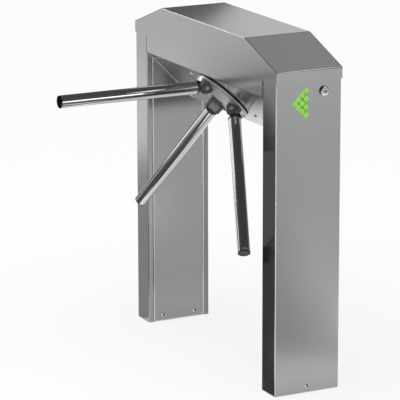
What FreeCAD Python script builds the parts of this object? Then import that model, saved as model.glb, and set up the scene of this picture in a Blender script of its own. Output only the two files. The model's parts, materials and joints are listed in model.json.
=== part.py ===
import FreeCAD, Part
import math
import os

V = FreeCAD.Vector
os.makedirs("parts", exist_ok=True)

# Overall sizes of the housing, in millimetres.
length = 916.0
leg_thick = 80.0
leg_depth = 212.0
shoulder_height = 960.0
top_height = 1030.0
top_half_length = 270.0
skirt_height = 34.0
apron_bottom = 874.0
slope_run = 160.0
casing_top = 930.0
lid_overhang = 4.0
sheet = 2.0
bend = 3.0
flange = 18.0

# Arms and hub, measured from the panel along the hub axis.
hub_down_slope = 97.5
hub_radius = 94.0
pivot_radius = 68.5
pivot_height = 25.5
tube_radius = 19.0
tube_wall = 1.5
arm_reach = 469.0
cap_rim = 3.0
arm_root = 21.5
clevis_half = 24.0
tongue_half = 13.5
shaft_radius = 15.0
pin_radius = 5.0

# Clearances.
running = 0.05
free_gap = 0.3
panel_gap = 1.0

# Feet and fixings.
anchor_y = 70.0
anchor_radius = 7.0
foot_plate = 6.0
screw_radius = 3.0
screw_head = 6.0
screw_height = 19.5
ledge_short = 16.0
window_inset = 22.0

# Lock on the near end.
lock_y = 49.5
lock_z = 894.5
lock_radius = 11.0
lock_proud = 8.5
cam_reach = 40.0

# Pass arrow on each end, a triangle of lozenges.
arrow_tip_y = -44.5
arrow_z = 864.7
arrow_step = 11.7
arrow_pitch = 23.6
arrow_columns = 4
dot_wide = 10.2
dot_tall = 10.8
dot_corner = 2.2
lens_margin = 5.0

# Mechanism behind the sloped panel.
plate_thick = 8.0
rear_plate_front = -98.0
panel_screw_x = 116.0
panel_screw_u = 68.5
pawl_swing = 12.0
pawl_x = 60.0
pawl_u = 64.0
tail = 26.0
tooth_module = 2.0
gear_teeth = 32
pinion_teeth = 20

# Sizes that follow from those above.
half = length / 2
inner_x = half - leg_thick
depth = leg_depth / 2
skirt_bottom = shoulder_height - skirt_height
root2 = math.sqrt(0.5)
hub_y = -depth + hub_down_slope * root2
hub_z = apron_bottom - hub_down_slope * root2
leg_middle = half - leg_thick / 2
leg_top = shoulder_height - 10
plate_back = -sheet - plate_thick
shoulder_radius = shaft_radius + 7
housing_lip = 7.0
hub_back = 4.0

# The hub frame: x along the housing, y up the slope, z out along the hub axis.
hub_frame = FreeCAD.Placement(V(0, hub_y, hub_z), FreeCAD.Rotation(V(1, 0, 0), 135))


def save(node, shape):
    shape.exportStep("parts/" + node + ".step")


def block(x0, x1, y0, y1, z0, z1):
    return Part.makeBox(x1 - x0, y1 - y0, z1 - z0, V(x0, y0, z0))


def rod(base, direction, radius, height):
    return Part.makeCylinder(radius, height, V(*base), V(*direction))


def bar(x, y, z0, z1, radius):
    return rod((x, y, z0), (0, 0, 1), radius, z1 - z0)


def joined(shapes):
    return shapes[0].multiFuse(shapes[1:]).removeSplitter()


def rounded_wire(points):
    # Closed outline in a plane, each corner given as a point and its bend radius.
    count = len(points)
    entries = []
    for i in range(count):
        corner, radius = points[i]
        before = points[i - 1][0].sub(corner).normalize()
        after = points[(i + 1) % count][0].sub(corner).normalize()
        reach = radius / math.tan(before.getAngle(after) / 2)
        start = corner.add(before * reach)
        end = corner.add(after * reach)
        inward = before.add(after).normalize()
        distance = radius / math.sin(before.getAngle(after) / 2) - radius
        entries.append((start, corner.add(inward * distance), end, radius))
    edges = []
    for i in range(count):
        start, middle, end, radius = entries[i]
        if radius > 0:
            edges.append(Part.Arc(start, middle, end).toShape())
        edges.append(Part.LineSegment(end, entries[(i + 1) % count][0]).toShape())
    return Part.Wire(edges)


def prism(points, along):
    return Part.Face(rounded_wire(points)).extrude(V(*along))


def plan_points(x0, x1, y0, y1, z, radius):
    return [(V(x, y, z), radius) for x, y in ((x0, y0), (x1, y0), (x1, y1), (x0, y1))]


def revolved(profile):
    # A turned piece: outline of radius and height, turned about the z axis.
    points = [V(r, 0, h) for r, h in profile]
    face = Part.Face(Part.makePolygon(points + points[:1]))
    return face.revolve(V(0, 0, 0), V(0, 0, 1), 360)


def in_hub(shape, turn=0.0):
    placed = shape.copy()
    spin = FreeCAD.Placement(V(0, 0, 0), FreeCAD.Rotation(V(0, 0, 1), turn))
    placed.Placement = hub_frame.multiply(spin).multiply(shape.Placement)
    return placed


def mirrored(shape):
    return shape.mirror(V(0, 0, 0), V(1, 0, 0))


def hexagon(radius, base, height):
    turns = [math.pi * i / 3 for i in range(6)]
    corners = [V(radius * math.cos(t), radius * math.sin(t), base) for t in turns]
    return Part.Face(Part.makePolygon(corners + corners[:1])).extrude(V(0, 0, height))


def screw(shank):
    # Low-headed screw with a hex socket, head seat at z = 0 and shank going down.
    head = revolved([(0, 0), (screw_head, 0), (screw_head, 0.8), (screw_head - 1.6, 2.6), (0, 2.6)])
    body = joined([head, bar(0, 0, -shank, 0, screw_radius)])
    socket = screw_head - 2.8
    return body.cut(hexagon(socket, 0.4, 3))


def turned_to(shape, point, direction):
    # Stands a piece made along z at a point, along a direction.
    placed = shape.copy()
    placed.Placement = FreeCAD.Placement(V(*point), FreeCAD.Rotation(V(0, 0, 1), V(*direction)))
    return placed


# Positions that more than one piece shares.
outer_screw = (half, 0, screw_height)
inner_screws = [(inner_x, y, screw_height) for y in (-56, 56)]
bolt_y = depth - flange / 2 - 1
bolt_top = casing_top - 22
bolt_low = apron_bottom - slope_run + 31
bolt_spots = [(-bolt_y, bolt_top), (bolt_y, bolt_top), (bolt_y, bolt_low)]
buffer_spots = [-70, 70]
arrow_dots = []
for column in range(arrow_columns):
    for row in range(column + 1):
        arrow_dots.append((arrow_tip_y + arrow_step * column, arrow_z + arrow_pitch * (row - column / 2)))
foot_tab = 4.0


def dot(x0, x1, y, z, grow):
    # One raised lozenge of the pass arrow, with rounded corners.
    wide = dot_wide + grow
    tall = dot_tall + grow
    corners = [V(x0, y - wide, z), V(x0, y, z - tall), V(x0, y + wide, z), V(x0, y, z + tall)]
    return prism([(c, dot_corner) for c in corners], (x1 - x0, 0, 0))


def leg_shell(with_lock):
    # Bent sheet around three sides with two narrow flanges, and a ledge for the lid.
    outer = prism(plan_points(inner_x, half, -depth, depth, 0, bend), (0, 0, leg_top))
    inside = plan_points(inner_x + sheet, half - sheet, -depth + sheet, depth - sheet, 0, bend - sheet)
    shell = outer.cut(prism(inside, (0, 0, leg_top)))
    side = depth - flange
    shell = shell.cut(block(inner_x - 1, inner_x + sheet + 1, -side, side, -1, leg_top + 1))
    ledge_end = depth - ledge_short
    ledge = block(half - sheet - 14, half - sheet, -ledge_end, ledge_end, leg_top - sheet, leg_top)
    shell = joined([shell, ledge])
    holes = [rod((half - 5, 0, screw_height), (1, 0, 0), screw_radius + free_gap, 10)]
    for y, z in bolt_spots:
        holes.append(rod((inner_x - 5, y, z), (1, 0, 0), 4 + free_gap, 10))
    for y, z in arrow_dots:
        holes.append(dot(half - 5, half + 5, y, z, free_gap))
    if with_lock:
        holes.append(rod((half - 5, lock_y, lock_z), (1, 0, 0), lock_radius + free_gap, 10))
    return shell.cut(Part.makeCompound(holes))


def inner_panel():
    edge = depth - flange - panel_gap
    skin = block(inner_x, inner_x + sheet, -edge, edge, 3, casing_top)
    folds = [block(inner_x, inner_x + 12, y, y + sheet, 50, casing_top) for y in (-edge, edge - sheet)]
    panel = joined([skin] + folds)
    holes = [rod((inner_x - 5, y, z), (1, 0, 0), screw_radius + free_gap, 10) for x, y, z in inner_screws]
    return panel.cut(Part.makeCompound(holes))


def foot():
    plate = block(inner_x + sheet, half - sheet, -depth + sheet, depth - sheet, 0, foot_plate)
    corners = prism(plan_points(inner_x + sheet, half - sheet, -depth + sheet, depth - sheet, 0, bend),
                    (0, 0, foot_plate))
    plate = plate.common(corners)
    inner_tab = block(inner_x + sheet, inner_x + sheet + foot_tab, -72, 72, 0, 44)
    outer_tab = block(half - sheet - foot_tab, half - sheet, -40, 40, 0, 44)
    base = joined([plate, inner_tab, outer_tab])
    holes = [bar(leg_middle, y, -1, foot_plate + 1, anchor_radius) for y in (-anchor_y, anchor_y)]
    holes.append(bar(leg_middle, 0, -1, foot_plate + 1, 22))
    holes.append(rod((half - 20, 0, screw_height), (1, 0, 0), screw_radius, 30))
    for x, y, z in inner_screws:
        holes.append(rod((x - 5, y, z), (1, 0, 0), screw_radius, 20))
    return base.cut(Part.makeCompound(holes))


def grommet():
    ring = revolved([(15, 0), (22, 0), (22, foot_plate), (26, foot_plate), (24, foot_plate + 4),
                     (15, foot_plate + 4)])
    return ring.translated(V(leg_middle, 0, 0))


def foot_screws():
    group = [turned_to(screw(sheet + foot_tab), outer_screw, (1, 0, 0))]
    for spot in inner_screws:
        group.append(turned_to(screw(sheet + foot_tab), spot, (-1, 0, 0)))
    return group


def casing_profile(inset):
    # Outline of the bridge casing across the housing, set in by a sheet thickness if asked.
    d = depth - inset
    low = apron_bottom - slope_run + inset
    kink = inset * (math.sqrt(2) - 1)
    front = apron_bottom + kink
    foot_y = -depth + slope_run + kink
    r = bend - inset if inset else bend
    return [(V(0, -d, casing_top + inset), 0), (V(0, -d, front), r), (V(0, foot_y, low), r),
            (V(0, d, low), r), (V(0, d, casing_top + inset), 0)]


def bridge_casing():
    run = (2 * inner_x, 0, 0)
    skin = prism(casing_profile(0), run).cut(prism(casing_profile(sheet), run))
    skin = skin.translated(V(-inner_x, 0, 0))
    side = depth - window_inset
    top = casing_top - 14
    low = apron_bottom - slope_run + 32
    slope_sum = apron_bottom - depth + 40
    corners = [(-side, top), (-side, slope_sum + side), (slope_sum - low, low), (side, low), (side, top)]
    window = [(V(0, y, z), 6) for y, z in corners]
    end = prism(casing_profile(0), (sheet, 0, 0)).cut(prism(window, (sheet, 0, 0)))
    casing = joined([skin, end.translated(V(-inner_x, 0, 0)), end.translated(V(inner_x - sheet, 0, 0))])
    holes = [in_hub(bar(0, 0, -sheet - 3, 3, 40))]
    for x in (-panel_screw_x, panel_screw_x):
        for u in (-panel_screw_u, panel_screw_u):
            holes.append(in_hub(bar(x, u, -sheet - 3, 3, screw_radius + free_gap)))
    for end_x in (-inner_x, inner_x):
        for y, z in bolt_spots:
            holes.append(rod((end_x - 5, y, z), (1, 0, 0), 4 + free_gap, 10))
    return casing.cut(Part.makeCompound(holes))


def bridge_bolt():
    # Hex bolt along z with its nut, clamping the casing end to a leg flange.
    hexagon = [V(7 * math.cos(math.pi * i / 3), 7 * math.sin(math.pi * i / 3), 0) for i in range(6)]
    head = Part.Face(Part.makePolygon(hexagon + hexagon[:1]))
    inner = head.extrude(V(0, 0, -5))
    nut = head.extrude(V(0, 0, 6)).translated(V(0, 0, 2 * sheet))
    return joined([inner, bar(0, 0, 0, 2 * sheet + 9, 4), nut])


def bridge_bolts():
    group = [turned_to(bridge_bolt(), (inner_x - sheet, y, z), (1, 0, 0)) for y, z in bolt_spots]
    return group + [mirrored(b) for b in group]


def lid_outline(inset):
    x_end = half + lid_overhang - inset
    rise = math.atan2(top_height - shoulder_height, half + lid_overhang - top_half_length)
    z_top = top_height - inset
    z_end = shoulder_height - inset * math.tan((math.pi / 2 - rise) / 2)
    x_top = top_half_length - inset * math.tan(rise / 2)
    return x_end, z_end, x_top, z_top


def lid():
    rim = 3.5
    r = 5.0
    wide = depth + sheet + free_gap
    drop = inner_x + bend
    x_end, z_end, x_top, z_top = lid_outline(0)
    right = [(x_top, z_top, 14), (x_end, z_end, r), (x_end, skirt_bottom, 0), (drop, skirt_bottom, 0),
             (drop, apron_bottom, 0)]
    outline = [(V(x, -wide, z), k) for x, z, k in right]
    outline += [(V(-x, -wide, z), k) for x, z, k in reversed(right)]
    outer = prism(outline, (0, 2 * wide, 0))
    rims = [e for e in outer.Edges if e.BoundBox.ZMin > skirt_bottom + 1 and e.BoundBox.YLength < 0.1]
    outer = outer.makeFillet(rim, rims)
    x_end, z_end, x_top, z_top = lid_outline(sheet)
    half_in = [(x_top, z_top, 14 - sheet), (x_end, z_end, r - sheet), (x_end, apron_bottom - 5, 0)]
    inner = [(V(x, -wide + sheet, z), k) for x, z, k in half_in]
    inner += [(V(-x, -wide + sheet, z), k) for x, z, k in reversed(half_in)]
    return outer.cut(prism(inner, (0, 2 * (wide - sheet), 0)))


def under_lid(x):
    # Height of the lid's inner face over a point of its sloped end.
    x_end, z_end, x_top, z_top = lid_outline(sheet)
    return z_end + (x_end - x) * (z_top - z_end) / (x_end - x_top)


def lid_keeper():
    # Strip that hangs from the sloped end, with a lip the lock cam catches.
    x0, x1 = half - 46, half - 43
    y0, y1 = 8, 28
    hang = prism([(V(x0, y0, lock_z - 12), 0), (V(x1, y0, lock_z - 12), 0), (V(x1, y0, under_lid(x1)), 0),
                  (V(x0, y0, under_lid(x0)), 0)], (0, y1 - y0, 0))
    lip = block(x0, x0 + 20, y0, y1, lock_z - 14, lock_z - 11)
    run = 24.0
    tab = prism([(V(x0 - run, y0, under_lid(x0 - run) - 3), 0), (V(x1, y0, under_lid(x1) - 3), 0),
                 (V(x1, y0, under_lid(x1)), 0), (V(x0 - run, y0, under_lid(x0 - run)), 0)], (0, y1 - y0, 0))
    return joined([hang, lip, tab])


def lid_buffers():
    group = []
    for y in buffer_spots:
        post = bar(half - 9, y, leg_top, leg_top + 25, 6)
        x0, x1 = half - 20, half - 2
        keep = prism([(V(x0, y - 8, leg_top), 0), (V(x1, y - 8, leg_top), 0),
                      (V(x1, y - 8, under_lid(x1)), 0), (V(x0, y - 8, under_lid(x0)), 0)], (0, 16, 0))
        group.append(post.common(keep))
    return group + [mirrored(b) for b in group]


def lock_body():
    rim = lock_radius + 2.5
    profile = [(8 + running, -26), (lock_radius, -26), (lock_radius, 0), (rim, 0), (rim, lock_proud - 2),
               (rim - 2, lock_proud), (8 + running, lock_proud)]
    return turned_to(revolved(profile), (half, lock_y, lock_z), (1, 0, 0))


def lock_nut():
    nut = hexagon(15, -sheet - 6, 6).cut(bar(0, 0, -20, 0, lock_radius))
    return turned_to(nut, (half, lock_y, lock_z), (1, 0, 0))


def lock_plug():
    plug = joined([bar(0, 0, -28, lock_proud - 0.4, 8), bar(0, 0, -34, -28, 5)])
    slot = block(-1, 1, -4.5, 4.5, lock_proud - 4, lock_proud)
    return turned_to(plug.cut(slot), (half, lock_y, lock_z), (1, 0, 0))


def lock_cam():
    # Flat cam on the back of the plug, pointing up when the lid is free.
    x0, x1 = half - 31, half - 28
    plate = joined([rod((x0, lock_y, lock_z), (1, 0, 0), 9, x1 - x0),
                    block(x0, x1, lock_y - 7, lock_y + 7, lock_z, lock_z + cam_reach)])
    return plate.cut(rod((x0 - 1, lock_y, lock_z), (1, 0, 0), 5, x1 - x0 + 2))


lens_reach_y = dot_wide + lens_margin
lens_reach_z = arrow_pitch * (arrow_columns - 1) / 2 + dot_tall + lens_margin
lens_y = (arrow_tip_y - lens_reach_y, arrow_tip_y + arrow_step * (arrow_columns - 1) + lens_reach_y)
lens_z = (arrow_z - lens_reach_z, arrow_z + lens_reach_z)


def indicator_lens():
    plate = block(half - sheet - 3, half - sheet, lens_y[0], lens_y[1], lens_z[0], lens_z[1])
    dots = [dot(half - sheet - 1, half + 0.4, y, z, 0) for y, z in arrow_dots]
    return joined([plate] + dots)


def indicator_board():
    x1 = half - sheet - 3
    board = block(x1 - 7.6, x1 - 6, lens_y[0], lens_y[1], lens_z[0], lens_z[1])
    spacers = []
    for y in (lens_y[0] + 4, lens_y[1] - 4):
        for z in (lens_z[0] + 4, lens_z[1] - 4):
            spacers.append(rod((x1 - 7, y, z), (1, 0, 0), 3, 7))
    lights = [block(x1 - 7, x1 - 3, y - 2.5, y + 2.5, z - 2.5, z + 2.5) for y, z in arrow_dots]
    return joined([board] + spacers + lights)


def hub_blank():
    return revolved([(shaft_radius, hub_back), (hub_radius, hub_back), (hub_radius, 8.6),
                     (hub_radius - 1, 9.5), (72, 10.5), (43, 21.5), (36, 27), (22, 27), (22, 18),
                     (shaft_radius, 18)])


def hub_skirt():
    # Dark ring under the hub's rim that closes the gap to the panel.
    inner = hub_radius - 8
    outer = hub_radius - 0.5
    low = panel_gap + 0.2
    return revolved([(inner, low), (outer - 0.5, low), (outer, low + 0.5), (outer, hub_back),
                     (inner, hub_back)])


def hub_cap():
    return revolved([(0, 20), (22, 20), (22, 27), (35, 27), (35, 28.4), (33.4, 29.5), (0, 29.5)])


def clevis(hub):
    # Two angular cheeks with a web; their corners stay inside the path of the arm's collar.
    cheek = arm_root - panel_gap
    outline = [V(0, pivot_radius + 22, 9), V(0, pivot_radius - 22.5, 9)]
    for angle in (-79, -11, 11, 79):
        outline.append(V(0, pivot_radius + cheek * math.sin(math.radians(angle)),
                         pivot_height + cheek * math.cos(math.radians(angle))))
    cheek_face = Part.Face(Part.makePolygon(outline + outline[:1]))
    width = clevis_half - tongue_half - free_gap
    cheeks = [cheek_face.extrude(V(width, 0, 0)).translated(V(x, 0, 0))
              for x in (-clevis_half, clevis_half - width)]
    web = block(-clevis_half, clevis_half, pivot_radius + 2, pivot_radius + 21, 9, 13)
    body = joined(cheeks + [web])
    body = body.cut(rod((-50, pivot_radius, pivot_height), (1, 0, 0), pin_radius, 100))
    return body.cut(hub)


def clevis_pin():
    pin = rod((-clevis_half - 1.5, pivot_radius, pivot_height), (1, 0, 0), pin_radius, 2 * clevis_half + 3)
    heads = [rod((x, pivot_radius, pivot_height), (1, 0, 0), pin_radius + 1.5, 1.8)
             for x in (-clevis_half - 1.8, clevis_half)]
    return joined([pin] + heads)


def on_arm(shape, turn):
    # Arm pieces are made along z with the pin on x, then set at 45 degrees on the hub.
    lean = FreeCAD.Placement(V(0, pivot_radius, pivot_height), FreeCAD.Rotation(V(1, 0, 0), -45))
    placed = shape.copy()
    placed.Placement = lean.multiply(shape.Placement)
    spin = FreeCAD.Placement(V(0, 0, 0), FreeCAD.Rotation(V(0, 0, 1), turn))
    placed.Placement = hub_frame.multiply(spin).multiply(placed.Placement)
    return placed


def tongue():
    eye_radius = 11.0
    eye = rod((-tongue_half, 0, 0), (1, 0, 0), eye_radius, 2 * tongue_half)
    neck = block(-tongue_half, tongue_half, -eye_radius, eye_radius, 0, arm_root + 1)
    collar = bar(0, 0, arm_root, arm_root + 5, tube_radius)
    spigot = bar(0, 0, arm_root, arm_root + 45, tube_radius - tube_wall)
    body = joined([eye, neck, collar, spigot])
    return body.cut(rod((-50, 0, 0), (1, 0, 0), pin_radius + running, 100))


def arm_tube():
    z0, z1 = arm_root + 5, arm_reach - cap_rim
    return bar(0, 0, z0, z1, tube_radius).cut(bar(0, 0, z0, z1, tube_radius - tube_wall))


def arm_cap():
    # Flat end plug: a thin rim over the tube end and a shallow dish in its face.
    z = arm_reach - cap_rim
    inner = tube_radius - tube_wall
    return revolved([(0, z - 20), (inner - 1, z - 20), (inner, z - 19), (inner, z), (tube_radius, z),
                     (tube_radius, arm_reach - 0.8), (tube_radius - 0.8, arm_reach),
                     (tube_radius - 2.5, arm_reach), (tube_radius - 3, arm_reach - 0.5), (0, arm_reach - 0.5)])


def shaft():
    # Stepped shaft; its shoulder stands clear of the front bearing and carries the hub.
    shoulder = plate_back - housing_lip + 2
    return revolved([(0, -128), (10, -128), (10, -112), (shaft_radius, -112), (shaft_radius, shoulder),
                     (shoulder_radius, shoulder), (shoulder_radius, hub_back), (shaft_radius, hub_back),
                     (shaft_radius, 18), (0, 18)])


def mechanism_plate():
    plate = prism(plan_points(-135, 135, -84, 84, plate_back, 8), (0, 0, plate_thick))
    holes = [bar(0, 0, plate_back - 1, 0, 40)]
    for x in (-panel_screw_x, panel_screw_x):
        for u in (-panel_screw_u, panel_screw_u):
            holes.append(bar(x, u, plate_back - 1, 0, screw_radius))
    return in_hub(plate.cut(Part.makeCompound(holes)))


def panel_screws():
    group = []
    for x in (-panel_screw_x, panel_screw_x):
        for u in (-panel_screw_u, panel_screw_u):
            group.append(in_hub(turned_to(screw(sheet + plate_thick), (x, u, 0), (0, 0, 1))))
    return group


standoff_spots = [(x, u) for x in (-108, 108) for u in (-52, 74)]


def plate_standoffs():
    return [in_hub(bar(x, u, rear_plate_front, plate_back, 7)) for x, u in standoff_spots]


gear_angle = math.radians(150)
gear_centre = tooth_module * (gear_teeth + pinion_teeth) / 2
pinion_x = gear_centre * math.cos(gear_angle)
pinion_u = gear_centre * math.sin(gear_angle)
rear_bearing_radius = 27.5


def rear_plate():
    z = rear_plate_front
    plate = prism(plan_points(-120, 120, -62, 84, z, 8), (0, 0, -plate_thick))
    holes = [bar(0, 0, z - plate_thick - 1, z + 1, rear_bearing_radius)]
    holes.append(bar(pinion_x, pinion_u, z - plate_thick - 1, z + 1, 9))
    for x in (-pawl_x, pawl_x):
        holes.append(bar(x, pawl_u, z - plate_thick - 1, z + 1, pin_radius))
    return in_hub(plate.cut(Part.makeCompound(holes)))


def bearing(outer, width):
    bore = shaft_radius + running
    ring = revolved([(bore, 0), (outer, 0), (outer, width), (bore, width)])
    race = shaft_radius + 4
    groove = revolved([(race, -1), (outer - 4, -1), (outer - 4, 1.2), (race, 1.2)])
    return ring.cut(groove).cut(groove.mirror(V(0, 0, width / 2), V(0, 0, 1)))


front_bearing_radius = 31.0
front_bearing_width = 16.0


def bearing_housing():
    z1 = plate_back
    seat = z1 - housing_lip
    z0 = seat - front_bearing_width
    mouth = shoulder_radius + 2
    return in_hub(revolved([(mouth, z1), (56, z1), (56, seat), (40, seat), (40, z0),
                            (front_bearing_radius, z0), (front_bearing_radius, seat), (mouth, seat)]))


def front_bearing():
    z0 = plate_back - housing_lip - front_bearing_width
    return in_hub(bearing(front_bearing_radius, front_bearing_width).translated(V(0, 0, z0)))


def rear_bearing():
    z0 = rear_plate_front - plate_thick
    return in_hub(bearing(rear_bearing_radius, plate_thick).translated(V(0, 0, z0)))


wheel_front, wheel_back = -48.0, -60.0
wheel_radius = 50.0
tooth_half = 4.5
pawl_bite = 6.0
pawl_gap = 1.5


def lock_wheel():
    # Disc with three stop teeth, one for each arm position, on a long sleeve.
    parts = [bar(0, 0, wheel_back, wheel_front, 32), bar(0, 0, wheel_back - 10, wheel_front + 8, 22)]
    for k in range(3):
        tooth = block(-tooth_half, tooth_half, 20, wheel_radius, wheel_back, wheel_front)
        parts.append(tooth.rotated(V(0, 0, 0), V(0, 0, 1), 120 * k))
    wheel = joined(parts)
    return in_hub(wheel.cut(bar(0, 0, wheel_back - 20, wheel_front + 20, shaft_radius)))


def gear(teeth, bore, z0, z1, turn):
    # Spur gear with straight-sided steps along the involute and some backlash.
    pressure = math.radians(20)
    pitch = tooth_module * teeth / 2
    base = pitch * math.cos(pressure)
    tip = pitch + 0.9 * tooth_module
    floor = pitch - 1.2 * tooth_module
    play = 0.12 / pitch
    half_pitch = math.pi / (2 * teeth) + math.tan(pressure) - pressure - play
    flank = []
    for i in range(5):
        r = max(base, floor) + (tip - max(base, floor)) * i / 4
        angle = math.acos(min(1.0, base / r))
        flank.append((r, half_pitch - math.tan(angle) + angle))
    points = []
    for k in range(teeth):
        middle = turn + 2 * math.pi * k / teeth
        points.append((floor, middle - flank[0][1]))
        points += [(r, middle - a) for r, a in flank]
        points += [(r, middle + a) for r, a in reversed(flank)]
        points.append((floor, middle + flank[0][1]))
    unique = []
    for r, a in points:
        spot = V(r * math.cos(a), r * math.sin(a), z0)
        if not unique or spot.distanceToPoint(unique[-1]) > 0.01:
            unique.append(spot)
    wheel = Part.Face(Part.makePolygon(unique + unique[:1])).extrude(V(0, 0, z1 - z0))
    return wheel.cut(bar(0, 0, z0 - 1, z1 + 1, bore))


gear_front, gear_back = -82.0, -94.0


def shaft_gear():
    return in_hub(gear(gear_teeth, shaft_radius, gear_back, gear_front, gear_angle))


def damper_pinion():
    # A tooth gap faces the shaft gear, so the two are in mesh at rest.
    turn = gear_angle + math.pi + math.pi / pinion_teeth
    wheel = gear(pinion_teeth, 5, gear_back + 1, gear_front - 1, turn)
    stem = bar(0, 0, rear_plate_front - plate_thick - 20, gear_front - 1, 6)
    return in_hub(joined([wheel, stem]).translated(V(pinion_x, pinion_u, 0)))


def damper_body():
    z1 = rear_plate_front - plate_thick
    body = joined([bar(0, 0, z1 - 5, z1, 24), bar(0, 0, z1 - 30, z1 - 5, 21)])
    body = body.cut(bar(0, 0, z1 - 21, z1 + 1, 6 + running))
    return in_hub(body.translated(V(pinion_x, pinion_u, 0)))


disc_front = -119.0
disc_radius = 26.0


def code_disc():
    disc = bar(0, 0, disc_front - 1.5, disc_front, disc_radius)
    collar = bar(0, 0, disc_front - 5, disc_front + 4, 14)
    slots = []
    for k in range(24):
        slot = block(-1.2, 1.2, disc_radius - 6, disc_radius - 2.5, disc_front - 3, disc_front + 1)
        slots.append(slot.rotated(V(0, 0, 0), V(0, 0, 1), 15 * k))
    disc = disc.cut(Part.makeCompound(slots))
    return in_hub(joined([disc, collar]).cut(bar(0, 0, disc_front - 10, disc_front + 10, 10)))


def turn_sensor():
    # Forked light barrier that straddles the rim of the code disc.
    z1 = rear_plate_front - plate_thick
    r = disc_radius
    body = block(r - 7, r + 16, -8, 8, disc_front - 6, z1)
    body = body.cut(block(r - 9, r + 3, -10, 10, disc_front - 3.5, disc_front + 2))
    clear = block(r - 9, r + 2.5, -10, 10, disc_front + 5, z1 + 1)
    foot_block = block(r + 8, r + 26, -8, 8, z1 - 3, z1)
    return in_hub(joined([body.cut(clear), foot_block]))


pawl_front, pawl_back = -49.0, -59.0
pawl_mid = (pawl_front + pawl_back) / 2
cross_pin = 2.0


def pawl():
    # Lever with a nose for the lock wheel and a slotted tail; made engaged, then swung clear.
    z = pawl_back
    thick = pawl_front - pawl_back
    # The nose's tip clears the tooth's corner all through the swing.
    sweep = math.hypot(pawl_x - tooth_half - pawl_gap, pawl_u - wheel_radius)
    tip_u = wheel_radius - pawl_bite
    tip_x = pawl_x - math.sqrt(sweep ** 2 - (pawl_u - tip_u) ** 2)
    nose = [(tip_x, tip_u), (tip_x + 9, tip_u), (pawl_x, pawl_u - 9), (pawl_x, pawl_u + 9),
            (tip_x, wheel_radius + 5)]
    arm = prism([(V(x, u, z), 1) for x, u in nose], (0, 0, thick))
    centre = V(pawl_x, pawl_u, 0)
    arm = arm.rotated(centre, V(0, 0, 1), -pawl_swing)
    boss = bar(pawl_x, pawl_u, z - 6, pawl_front + 6, 11)
    link = block(pawl_x, pawl_x + 15, pawl_u - 5, pawl_u + 5, z, pawl_front)
    blade = block(pawl_x, pawl_x + tail + 6, pawl_u - 4.5, pawl_u + 4.5, pawl_mid - 2, pawl_mid + 2)
    body = joined([arm, boss, link, blade])
    slot_half = cross_pin + free_gap
    slot_x = (pawl_x + tail - 1.2, pawl_x + tail + 1.2)
    slot = joined([bar(x, pawl_u, z, pawl_front, slot_half) for x in slot_x]
                  + [block(*slot_x, pawl_u - slot_half, pawl_u + slot_half, z, pawl_front)])
    return body.cut(slot).cut(bar(pawl_x, pawl_u, -90, -20, pin_radius + running))


def plunger():
    # Round armature with a forked top and a cross pin through the pawl's tail.
    x = pawl_x + tail
    stem = rod((x, 14, pawl_mid), (0, 1, 0), 5, 56)
    stem = stem.cut(block(x - 6, x + 6, pawl_u - 7, 80, pawl_mid - 2 - free_gap, pawl_mid + 2 + free_gap))
    cross = bar(x, pawl_u, pawl_mid - 4.4, pawl_mid + 4.4, cross_pin)
    return joined([stem, cross])


def solenoid():
    # Coil frame on a foot that reaches the mechanism plate.
    x = pawl_x + tail
    frame = block(x - 14, x + 14, 8, 50, pawl_mid - 14, pawl_mid + 14)
    foot_block = block(x - 12, x + 12, 12, 46, pawl_mid + 14, plate_back)
    body = joined([frame, foot_block])
    return body.cut(rod((x, 12, pawl_mid), (0, 1, 0), 5 + running, 50))


def pawl_pivots():
    group = []
    for x in (-pawl_x, pawl_x):
        pin = bar(x, pawl_u, rear_plate_front - plate_thick, plate_back, pin_radius)
        sleeves = [bar(x, pawl_u, pawl_front + 6 + free_gap, plate_back, 8),
                   bar(x, pawl_u, rear_plate_front, pawl_back - 6 - free_gap, 8)]
        group.append(in_hub(joined([pin] + sleeves)))
    return group


def power_supply():
    back = depth - sheet
    box = block(-340, -200, back - 40, back, 752, 850)
    slots = [block(-330 + 12 * i, -324 + 12 * i, back - 41, back - 38, 770, 832) for i in range(11)]
    return box.cut(Part.makeCompound(slots))


def control_board():
    back = depth - sheet
    board = block(180, 340, back - 13.6, back - 12, 752, 872)
    posts = [rod((x, back - 13, z), (0, 1, 0), 3.5, 13) for x in (188, 332) for z in (760, 864)]
    terminals = [block(190, 330, back - 26, back - 13, z, z + 12) for z in (768, 842)]
    chips = [block(240 + 40 * i, 262 + 40 * i, back - 17, back - 13, 800, 822) for i in range(2)]
    return joined([board] + posts + terminals + chips)


right_leg = leg_shell(True)
save("right_leg_shell", right_leg)
save("left_leg_shell", mirrored(leg_shell(False)))
save("right_inner_panel", inner_panel())
save("left_inner_panel", mirrored(inner_panel()))
save("right_foot", foot())
save("left_foot", mirrored(foot()))
save("cable_grommets", Part.makeCompound([grommet(), mirrored(grommet())]))
screws = foot_screws()
save("foot_screws", Part.makeCompound(screws + [mirrored(s) for s in screws]))
save("bridge_casing", bridge_casing())
save("bridge_bolts", Part.makeCompound(bridge_bolts()))
save("lid", lid())
save("lid_keeper", lid_keeper())
save("lid_buffers", Part.makeCompound(lid_buffers()))
save("lock_body", lock_body())
save("lock_nut", lock_nut())
save("lock_plug", lock_plug())
save("lock_cam", lock_cam())
save("right_indicator_lens", indicator_lens())
save("left_indicator_lens", mirrored(indicator_lens()))
save("indicator_boards", Part.makeCompound([indicator_board(), mirrored(indicator_board())]))

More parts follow.
